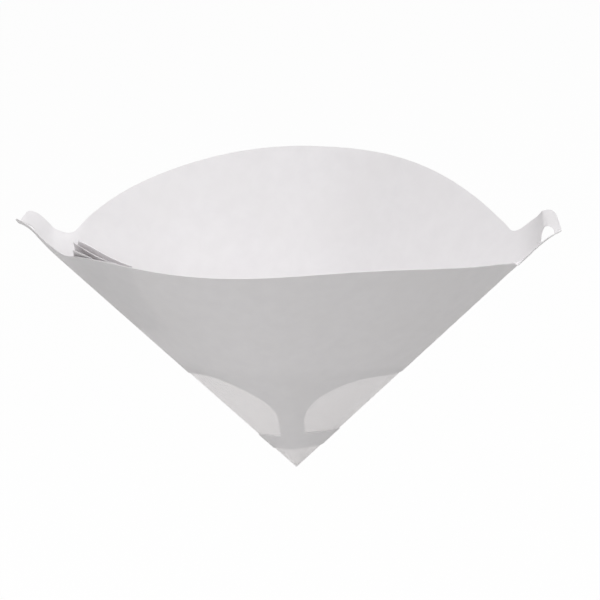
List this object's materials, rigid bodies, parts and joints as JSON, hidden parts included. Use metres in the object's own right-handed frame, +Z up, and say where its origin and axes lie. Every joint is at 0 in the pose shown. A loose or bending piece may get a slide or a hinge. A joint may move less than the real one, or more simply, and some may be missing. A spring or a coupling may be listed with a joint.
{
  "type": "paint strainer",
  "caption": "Disposable folded paper cone with a fine gauze tip and windows, opened for use and hung by its two ears to strain paint.",
  "frame": {"origin": "tip of the cone, where the gauze closes", "axes": "+Z up through the open mouth, X through the two folds and ears, -Y towards the face with the glue lap"},
  "size_m": [0.2166, 0.138, 0.1101],
  "materials": {
    "paper": "smooth uncoated white paper, cut edges plain",
    "gauze": "fine white nylon gauze, slightly translucent"
  },
  "bodies": {
    "root": {"paper_cone": "paper", "gauze_cone": "gauze"}
  },
  "joints": []
}
